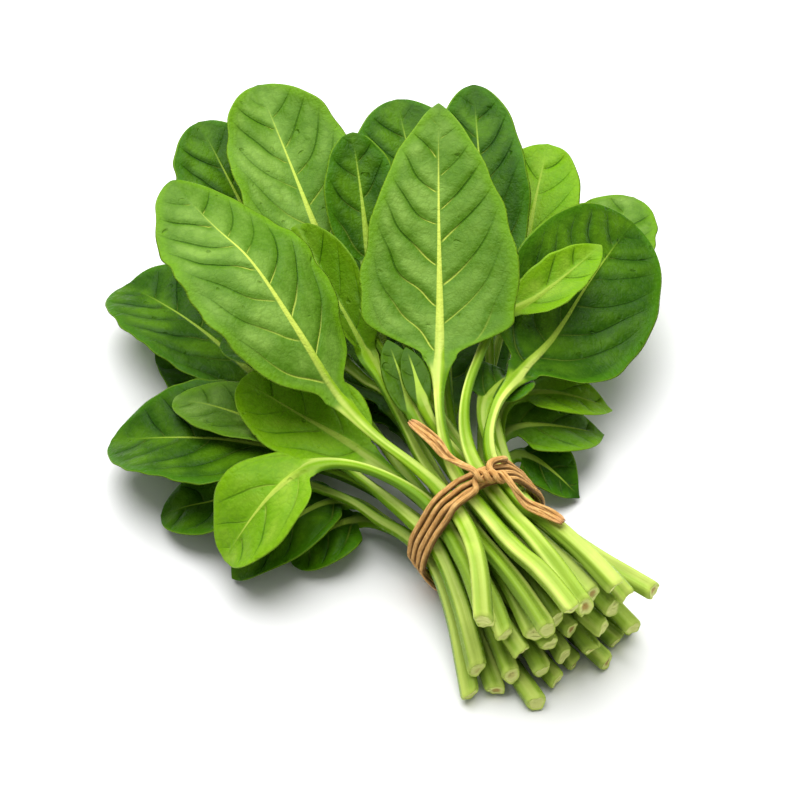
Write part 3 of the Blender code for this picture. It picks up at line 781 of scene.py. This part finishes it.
# for the stem, the rib and the cut end. The brightest stem colour paints the highlight along the tops
# of the stems and is also their real paleness near the cut; the side colour paints the shade at the
# sides of the stems and on the lower rows
stemFinish = {
    "skin": (0.225, 0.415, 0.005), "shade": (0.040, 0.130, 0.001), "bright": (0.640, 0.750, 0.165),
    "side": (0.050, 0.165, 0.001), "rib": (0.540, 0.650, 0.095), "ribDull": (0.176, 0.340, 0.016),
    "cut": (0.700, 0.760, 0.240), "cutRim": (0.560, 0.700, 0.130), "stain": (0.360, 0.150, 0.030),
    "edge": (0.200, 0.360, 0.020),
}
# how strongly each thing shows on a leaf
leafSurface = {
    "veinWidth": 0.62, "netScale": 26.0, "mottleSize": 5.5, "creaseScale": 9.0, "creased": 0.41,
    "rimBand": 0.8, "net": 0.14, "speck": 0.14, "veins": 0.9, "creases": 0.45, "edge": 0.55,
    "veinsBelow": 0.55, "underside": 0.9, "flank": 0.92, "crest": 0.80, "streak": 0.16,
    "mottle": 0.25, "nearCut": 0.22, "cutEdge": 0.5, "stain": 0.7,
    "netHeight": 0.45, "creaseHeight": -1.6, "veinHeight": -1.0, "fibreHeight": 1.0,
    "cutHeight": 1.6, "bump": (0.7, 0.0005),
}


def leafMaterial(tone, groups):
    finish, stem, show = leafFinishes[tone], stemFinish, leafSurface
    material, tree, shader = newMaterial("leaf" + tone.capitalize(), {
            "IOR": 1.42, "Specular IOR Level": 0.10, "Metallic": 0.0})
    leafUv = put(tree, "ShaderNodeUVMap", uv_map="leafUv").outputs[0]
    veinUv = put(tree, "ShaderNodeUVMap", uv_map="veinUv").outputs[0]
    phase = put(tree, "ShaderNodeSeparateXYZ", {0: veinUv}).outputs[0]
    names = (
        "veinFade", "veinScale", "bladeShare", "ribShare", "rimDistance", "alongBlade", "fromCut",
        "cutFace", "cutRing", "underside", "leafTint", "leafSheen", "ribPale", "stemTop",
        "stemDeep")
    get = {name: field(tree, name) for name in names}
    sideVeins = useGroup(tree, groups["sideVeins"], Phase=phase, Fade=get["veinFade"],
        Scale=get["veinScale"], Width=show["veinWidth"])
    net = useGroup(tree, groups["veinNet"], Vector=leafUv, Scale=show["netScale"], Waver=0.02)
    mottle = useGroup(tree, groups["mottle"], Vector=leafUv, Size=show["mottleSize"], Contrast=1.0)
    streaks = useGroup(tree, groups["fibreStreaks"], Vector=leafUv, Along=1.6, Across=60.0)
    puckers = useGroup(tree, groups["puckers"], Vector=leafUv, Scale=show["creaseScale"],
        Share=show["creased"])

    # the blade: pale cushions between the veins, a painted sheen that is also painted lighter on the
    # left half as if lit from that side; deep green along the veins, partly painted shade in their
    # grooves, and at the rim
    rimBand = ramp(tree, get["rimDistance"], 7.0, 1.5)
    cushion = maths(tree, "MULTIPLY_ADD", sideVeins["Near"], -0.80, 0.98)
    for part in (maths(tree, "MULTIPLY_ADD", mottle["Broad"], 0.75, 0.25),
            maths(tree, "MULTIPLY_ADD", rimBand, -0.8, 1.0), get["leafSheen"]):
        cushion = times(tree, cushion, part)
    flesh = overlay(tree, finish["flesh"], finish["rim"], rimBand, show["rimBand"])
    flesh = blend(tree, cushion, flesh, finish["pale"])
    nearRib = ramp(tree, get["ribShare"], 18.0, 2.0)
    ribTone = blend(tree, get["ribPale"], stem["ribDull"], stem["rib"])
    # the side veins: pale near the rib, and away from it deep green that also paints the shade in
    # their sunken grooves
    veinTone = blend(tree, times(tree, nearRib, get["ribPale"]), finish["vein"], ribTone)
    rim = ramp(tree, get["rimDistance"], 1.1, 0.25)
    below = overlay(tree, finish["below"], stem["rib"], sideVeins["Line"], show["veinsBelow"])
    # the net of small veins and the creases are darkened with the vein colour as painted shade in
    # their sunken lines
    for tone, mask, layer in (
            (finish["vein"], net["Line"], "net"), (finish["pale"], mottle["Speck"], "speck"),
            (veinTone, sideVeins["Line"], "veins"), (finish["vein"], puckers["Line"], "creases"),
            (stem["edge"], rim, "edge"), (below, get["underside"], "underside")):
        flesh = overlay(tree, flesh, tone, mask, show[layer])
    paler = maths(tree, "MAXIMUM", get["leafTint"], 0.0)
    flesh = blend(tree, paler, flesh, finish["pale"])
    deeper = times(tree, maths(tree, "MINIMUM", get["leafTint"], 0.0), -1.0)
    flesh = blend(tree, deeper, flesh, leafFinishes["dark"]["vein"])

    # the rib and the stem: a painted highlight along the top, painted shade deep at the sides
    flank = ramp(tree, get["stemTop"], 0.65, -0.25)
    skin = overlay(tree, stem["skin"], stem["side"], flank, show["flank"])
    crest = maths(tree, "MULTIPLY_ADD", ramp(tree, get["stemTop"], 0.60, 1.15), show["crest"],
        times(tree, streaks["Streak"], show["streak"]))
    skin = blend(tree, crest, skin, stem["bright"])
    skin = overlay(tree, skin, stem["shade"], mottle["Broad"], show["mottle"])
    # painted shade on the stems of the lower rows
    skin = blend(tree, get["stemDeep"], skin, stem["side"])
    pale = ramp(tree, get["fromCut"], 60.0, 4.0)
    skin = overlay(tree, skin, stem["bright"], pale, show["nearCut"])
    ribColour = blend(tree, ramp(tree, get["alongBlade"], 0.0, 0.25), skin, ribTone)
    onRib = times(tree, ramp(tree, get["ribShare"], 1.15, 0.75),
        ramp(tree, get["alongBlade"], 0.94, 0.6))
    offBlade = times(tree, ramp(tree, get["bladeShare"], 0.75, 0.25),
        ramp(tree, get["alongBlade"], 0.10, 0.0))
    colour = blend(tree, maths(tree, "MAXIMUM", onRib, offBlade), flesh, ribColour)

    # the cut end: pale, greener at its rim, and brown where it has dried
    ring = get["cutRing"]
    cutTone = blend(tree, ramp(tree, ring, 0.70, 0.92), stem["cut"], stem["cutRim"])
    dried = times(tree, ramp(tree, mottle["Broad"], 0.55, 0.85), ramp(tree, ring, 0.62, 0.25))
    cutTone = overlay(tree, cutTone, stem["stain"], dried, show["stain"])
    edge = times(tree, ramp(tree, get["fromCut"], 3.0, 0.0), show["cutEdge"])
    colour = blend(tree, maths(tree, "MAXIMUM", get["cutFace"], edge), colour, cutTone)

    rough = maths(tree, "MULTIPLY_ADD", mottle["Speck"], 0.12, finish["roughness"])
    rough = maths(tree, "MULTIPLY_ADD", offBlade, -0.15, rough)
    rough = maths(tree, "MULTIPLY_ADD", get["cutFace"], 0.2, rough)

    # relief: fine veins and creases on the blade, fibres on the stem, grain on the cut end
    onLeaf = times(tree, net["Height"], show["netHeight"])
    onLeaf = maths(tree, "MULTIPLY_ADD", puckers["Height"], show["creaseHeight"], onLeaf)
    onLeaf = maths(tree, "MULTIPLY_ADD", sideVeins["Line"], show["veinHeight"], onLeaf)
    onLeaf = times(tree, onLeaf, get["bladeShare"])
    onStem = times(tree, streaks["Height"], show["fibreHeight"])
    onStem = times(tree, onStem, offBlade)
    onCut = times(tree, mottle["Speck"], show["cutHeight"])
    onCut = times(tree, onCut, get["cutFace"])
    height = maths(tree, "ADD", maths(tree, "ADD", onStem, onLeaf), onCut)
    finishMaterial(tree, shader, colour, rough, height, show["bump"])
    return material


# dark paints the shade between the strands and between the turns of the coil
twineFinish = {
    "light": (0.800, 0.490, 0.180), "mid": (0.480, 0.225, 0.048), "dark": (0.085, 0.032, 0.004),
    "end": (0.580, 0.290, 0.125), "coarse": 0.45, "speck": 0.45, "seam": 0.85, "loose": 0.6,
    "roughness": 0.76, "bump": (1.0, 0.0007),
}


def twineMaterial(groups):
    finish = twineFinish
    material, tree, shader = newMaterial("twineJute", {"Specular IOR Level": 0.25, "Metallic": 0.0})
    twineUv = put(tree, "ShaderNodeUVMap", uv_map="twineUv").outputs[0]
    streaks = useGroup(tree, groups["fibreStreaks"], Vector=twineUv, Along=24.0, Across=190.0)
    coarse = useGroup(tree, groups["fibreStreaks"], Vector=twineUv, Along=5.0, Across=130.0)
    mottle = useGroup(tree, groups["mottle"], Vector=twineUv, Size=7.0, Contrast=1.0)
    colour = blend(tree, streaks["Streak"], finish["mid"], finish["light"])
    # the seam darkening is painted shade between the strands and the turns
    for tone, mask, strength in (
            ("light", coarse["Streak"], "coarse"), ("mid", mottle["Speck"], "speck"),
            ("dark", field(tree, "strandSeam"), "seam"),
            ("end", field(tree, "looseEnd"), "loose")):
        colour = overlay(tree, colour, finish[tone], mask, finish[strength])
    rough = maths(tree, "MULTIPLY_ADD", streaks["Streak"], 0.12, finish["roughness"])
    height = maths(tree, "ADD", streaks["Height"], coarse["Height"])
    finishMaterial(tree, shader, colour, rough, height, finish["bump"])
    return material


def solidPile():
    # every packed leaf solid in one tree, to lay the twine's ends on
    points, faces = [], []
    for spec in leaves:
        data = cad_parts[spec["node"]].data
        solid = nodePoints(spec["node"])
        start = sum(len(p) for p in points)
        faces += [tuple(start + v for v in polygon.vertices) for polygon in data.polygons]
        points.append(solid)
    everything = np.vstack(points) - [*restShift, restRise]
    return BVHTree.FromPolygons([Vector(p) for p in everything], faces)


def topOf(pile, x, y, reach=3.0):
    # the highest point of the leaves round a spot
    angles = [k * math.pi / 3 for k in range(6)]
    spots = [(x, y)] + [(x + reach * math.cos(a), y + reach * math.sin(a)) for a in angles]
    hits = [pile.ray_cast(Vector((*spot, 500)), Vector((0, 0, -1)))[0] for spot in spots]
    return max(hit.z if hit is not None else 0.0 for hit in hits)


def spanned(heights):
    # heights along a taut line that rests on the highest of them and spans the rest
    last = len(heights) - 1
    spans = [(i, k) for i in range(last) for k in range(i + 1, last + 1)]
    return np.array([max(np.interp(j, (i, k), heights[[i, k]]) for i, k in spans if i <= j <= k)
            for j in range(last + 1)])


def stemsAtTie():
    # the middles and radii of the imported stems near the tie
    found = []
    for spec in leaves:
        shares, rise, _, _ = restingHeights(spec)
        marks = centreline(spec)[1]
        middles = sectionFrames(spec, shares)[0] + (rise - restRise)[:, None] * [0, 0, 1]
        near = middles[:, 1] < 22
        found.append((middles[near], stemRadius(shares, *marks)[near]))
    return found


def twineRoute(pile):
    # the way of the twine from one loose end to the other, its radii and how loose it is
    turned = np.arange(0, 360 * twine["turns"], twine["turnStep"])
    left = turned - turned[-1]
    starting, ending = turned < twine["startDegrees"][-1], left > twine["endDegrees"][0]
    alongY = twine["pitch"] * (twine["turns"] / 2 - turned / 360)
    alongY = np.where(starting, np.interp(turned, twine["startDegrees"], twine["startAlong"]), alongY)
    alongY = np.where(ending, np.interp(left, twine["endDegrees"], twine["endAlong"]), alongY)
    rise = np.interp(turned, twine["startDegrees"], twine["startRise"])
    rise += np.interp(left, twine["endDegrees"], twine["endRise"])
    angles = np.radians(turned + twine["turnStep"] / 2)
    outward = np.stack([np.sin(angles), 0 * angles, np.cos(angles)], axis=1)
    stems = stemsAtTie()
    coil = []
    for y, out in zip(alongY, outward):
        best = -math.inf
        for middles, radii in stems:
            x, z, radius = (np.interp(y, middles[:, 1], values)
                for values in (middles[:, 0], middles[:, 2], radii))
            centre = np.array([x, y, z])
            if centre @ out + radius > best:
                best, nearest = centre @ out + radius, centre + out * radius
        coil.append(nearest + out * (twine["gap"] + twine["radius"]))
    coil = np.array(coil)
    top = coil[:, 2].max()
    coil += outward * rise[:, None]

    # the knot: the two ends wound one and a half times round each other, on top of the coil
    radius = (twine["knotTwine"] + twine["gap"]) / 2 + twine["knotSlack"]
    middle = top + twine["radius"] + twine["gap"] + twine["knotTwine"] / 2 + radius
    share = np.linspace(0, 1, twine["knotSections"])
    angle = np.radians(540 * share - 90)
    turn = math.radians(twine["knotTurn"])
    ahead = np.array([math.cos(turn), -math.sin(turn), 0])
    beside = np.array([math.sin(turn), math.cos(turn), 0])
    run = ahead * (twine["knotLength"] * (share - 0.5))[:, None]
    wind = beside * (radius * np.cos(angle))[:, None]
    wind = wind + [0, 0, 1] * (radius * np.sin(angle))[:, None]
    knot = np.array([twine["knotX"], twine["knotY"], middle])
    lastEnd, firstEnd = knot + run + wind, knot + run - wind
    ends = []
    count = twine["tailSections"]
    for start, tail in ((lastEnd[-1], twine["cutTail"]), (firstEnd[0], twine["leafTail"])):
        line, _, _ = splineThrough([start, *((x, y, start[2]) for x, y in tail)])
        points = line(np.linspace(0, 1, count + 1)[1:])
        tops = np.array([topOf(pile, x, y) for x, y, _ in points])
        rest = spanned(tops + twine["radius"] + twine["gap"])
        drop = smooth(0, 0.45, np.linspace(0, 1, count))
        points[:, 2] = np.maximum(rest, start[2] * (1 - drop) + rest * drop)
        ends.append(points)
    route = np.vstack([ends[1][::-1], firstEnd, coil, lastEnd, ends[0]])
    thin = np.full(twine["knotSections"], twine["knotTwine"] / 2)
    tail = np.full(count, twine["tailRadius"])
    radii = np.concatenate([tail, thin, np.full(len(coil), twine["radius"]), thin, tail])
    loose = np.concatenate([np.linspace(1, 0, count), 0 * thin, np.zeros(len(coil)), 0 * thin,
            np.linspace(0, 1, count)])
    return route, radii, loose


def tube(way, nearUp, radius):
    # rings of points round a line, with the directions to them and their angles
    forward = unit(np.gradient(way, axis=0))
    across = unit(np.cross(forward, nearUp))[:, None]
    above = np.cross(across[:, 0], forward)[:, None]
    angle = 2 * math.pi * np.arange(twine["sides"]) / twine["sides"]
    ring = across * np.cos(angle)[None, :, None] + above * np.sin(angle)[None, :, None]
    return way[:, None] + ring * radius[:, None, None], ring, angle


def uvOf(along, around):
    return np.stack(np.broadcast_arrays(along, around), axis=-1)


def buildTwine(material):
    rng = np.random.default_rng(77)
    route, radii, loose = twineRoute(solidPile())
    line, knots, length = splineThrough(route)
    rows = int(length / (twine["step"] * 1))
    shares = np.linspace(0, 1, rows)
    centres = line(shares)
    ahead = unit(np.gradient(centres, axis=0))
    radius = np.interp(shares, knots, radii) * twine["snug"]
    slack = np.interp(shares, knots, loose)
    # 1 where it goes round the stems, 0 in the knot and the tails
    outside = (twine["tailSections"] + twine["knotSections"]) / (len(route) - 1)
    inCoil = abs(np.linspace(-1, 1, len(route))) < 1 - 2 * outside
    coiled = np.interp(shares, knots, np.where(inCoil, 1, 0))
    # carry a side direction along the twine without twisting it
    side = np.zeros_like(centres)
    side[0] = unit(np.cross(ahead[0], [0, 0, 1]))
    for i in range(1, rows):
        side[i] = unit(side[i - 1] - ahead[i] * (side[i - 1] @ ahead[i]))
    up = np.cross(side, ahead)
    level = unit(np.cross(ahead, [0, 0, 1]) + 1e-9)
    levelUp = np.cross(level, ahead)
    flatten = smooth(0.05, 0.5, slack)[:, None]
    distance = shares * length
    strands, sides = twine["strands"], twine["sides"]
    plump = twine["strandRadius"] * radius / twine["radius"]
    grids, seams, frays, uvs = [], [], [], []
    for strand in range(strands):
        turn = 2 * math.pi * (strand / strands + distance / twine["layPitch"])
        turn = turn + 0.25 * np.sin(distance / 13 + strand)
        reach = (radius - plump)[:, None]
        offset = reach * (side * np.cos(turn)[:, None] + up * np.sin(turn)[:, None])
        # in the tails the strands lie side by side, and close up again at the tip
        place = (strand - (strands - 1) / 2) / ((strands - 1) / 2)
        tail = (1 + 0.35 * slack - 0.75 * slack**5)[:, None]
        part = radius[:, None] * twine["tailSpread"] * place * tail
        spread = level * part + levelUp * (0.35 * np.sin(distance / 5 + strand * 2))[:, None]
        way = centres + offset * (1 - flatten) + spread * flatten
        way += side * (0.08 * np.sin(distance / 3.1 + 2 * strand))[:, None]
        bumps = 0.10 * np.sin(distance / 4.3 + strand * 1.7)
        thick = plump * (1 + bumps + 0.06 * np.sin(distance / 1.9 + strand))
        ends = smooth(0, 2.5, distance) * smooth(0, 2.5, length - distance)
        thick = thick * (0.35 + 0.65 * ends)
        grid, ring, angle = tube(way, levelUp + 0.01, thick)
        # painted shade between the strands, and between the turns of the coil
        inward = np.einsum("rkc,rc->rk", ring, unit(way - centres + 1e-6))
        aside = abs((grid - centres[:, None])[..., 1]) / radius[:, None]
        gap = smooth(0.55, 0.95, aside) * coiled[:, None]
        grids.append(grid)
        seams.append(np.maximum(0.55 * smooth(0.45, -0.5, inward), gap))
        frays.append(np.repeat(smooth(0.80, 1.0, slack)[:, None], sides, axis=1))
        uvs.append(uvOf(distance[:, None] / 100 + strand * 3.3,
                (thick[0] * angle / 100)[None] + strand * 0.7))
    # loose fibres standing off the twine
    t = np.linspace(0, 1, 5)[:, None]
    for _ in range(twine["hairs"]):
        at = int(rng.uniform(4, rows - 5))
        around = rng.uniform(0, 2 * math.pi)
        out = side[at] * math.cos(around) + up[at] * math.sin(around)
        if centres[at, 2] + out[2] * 3 < 1.0:  # it would go through the table
            continue
        run = rng.uniform(2.5, 7.0) * rng.choice([-1, 1])
        curl = np.cross(out, ahead[at]) * rng.uniform(-1.5, 1.5)
        root = centres[at] + out * radius[at] * 0.8
        hair = root + ahead[at] * run * t + out * rng.uniform(0.6, 1.9) * t**1.4 + curl * t**2
        grid, _, angle = tube(hair, out + 0.013, twine["hairRadius"] * (1 - 0.7 * t[:, 0]))
        grids.append(grid)
        seams.append(np.zeros((len(t), sides)))
        frays.append(np.zeros((len(t), sides)))
        uvs.append(uvOf(t * 0.05 + around, angle[None] / 100))

    piece, loops = addSkins("twineTie", grids, [*restShift, restRise])
    addUv(piece, loops, "twineUv", np.vstack([uv.reshape(-1, 2) for uv in uvs]))
    addField(piece, "strandSeam", np.concatenate([seam.ravel() for seam in seams]))
    addField(piece, "looseEnd", np.concatenate([fray.ravel() for fray in frays]))
    piece.data.materials.append(material)
    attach(piece, "root")
    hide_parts("twine")
    print("twine", round(length), "mm long")


studio = {
    "floorSize": 6.0,
    "floorColour": (0.86, 0.86, 0.86),
    "skyStrength": 0.33,
    "lampPower": 52.0,
    "lampSize": 2.1,
    "lampAt": (0.12, 0.46, 1.45),
    "cameraAt": (-0.3521, -0.5808, 0.6988),
    "cameraTarget": (-0.0339, -0.0297, 0.0624),
    "lens": 101.25,
}


def aim(thing, target):
    way = Vector(target) - thing.location
    thing.rotation_euler = way.to_track_quat("-Z", "Y").to_euler()


def buildStudio():
    scene = bpy.context.scene
    half = studio["floorSize"] / 2
    mesh = bpy.data.meshes.new("floor")
    mesh.from_pydata([(-half, -half, 0), (half, -half, 0), (half, half, 0), (-half, half, 0)], [],
        [(0, 1, 2, 3)])
    floor = addObject("floor", mesh)
    material, _, shader = newMaterial("floorPaper", {"Roughness": 0.9, "Specular IOR Level": 0.1})
    shader.inputs["Base Color"].default_value = (*studio["floorColour"], 1)
    mesh.materials.append(material)
    floor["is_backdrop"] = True

    scene.world = bpy.data.worlds.new("sky")
    scene.world.use_nodes = True
    sky = scene.world.node_tree.nodes["Background"].inputs
    sky["Color"].default_value = (1, 1, 1, 1)
    sky["Strength"].default_value = studio["skyStrength"]

    light = bpy.data.lights.new("softbox", "AREA")
    light.shape = "DISK"
    light.size = studio["lampSize"]
    light.energy = studio["lampPower"]
    lamp = addObject("softbox", light)
    lamp.location = studio["lampAt"]
    aim(lamp, (0, 0, 0))

    lens = bpy.data.cameras.new("camera")
    lens.lens = studio["lens"]
    lens.sensor_width = 36
    camera = addObject("camera", lens)
    camera.location = studio["cameraAt"]
    aim(camera, studio["cameraTarget"])
    scene.camera = camera
    scene.view_settings.view_transform = "Standard"


groups = {"sideVeins": sideVeinsGroup(), "veinNet": veinNetGroup(), "puckers": puckerGroup(),
    "mottle": mottleGroup(), "fibreStreaks": fibreGroup()}
for group in groups.values():
    arrange(group)
print("node groups ready")

# the first leaf lies on the table, so it tells how the solids were moved
_, firstRise, restShift, worst = restingHeights(leaves[0])
restRise = firstRise[np.argmin(abs(solidRims(leaves[0])[1][:, 1]))]
leafMaterials = {tone: leafMaterial(tone, groups) for tone in leafFinishes}
for index, spec in enumerate(leaves):
    buildLeaf(spec, index, leafMaterials[spec["tone"]])
print("leaves", len(leaves), "matched to their solids within", round(float(worst), 4), "mm")

buildTwine(twineMaterial(groups))
buildStudio()
print("studio ready")

visualBox = [list(corner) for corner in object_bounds()]
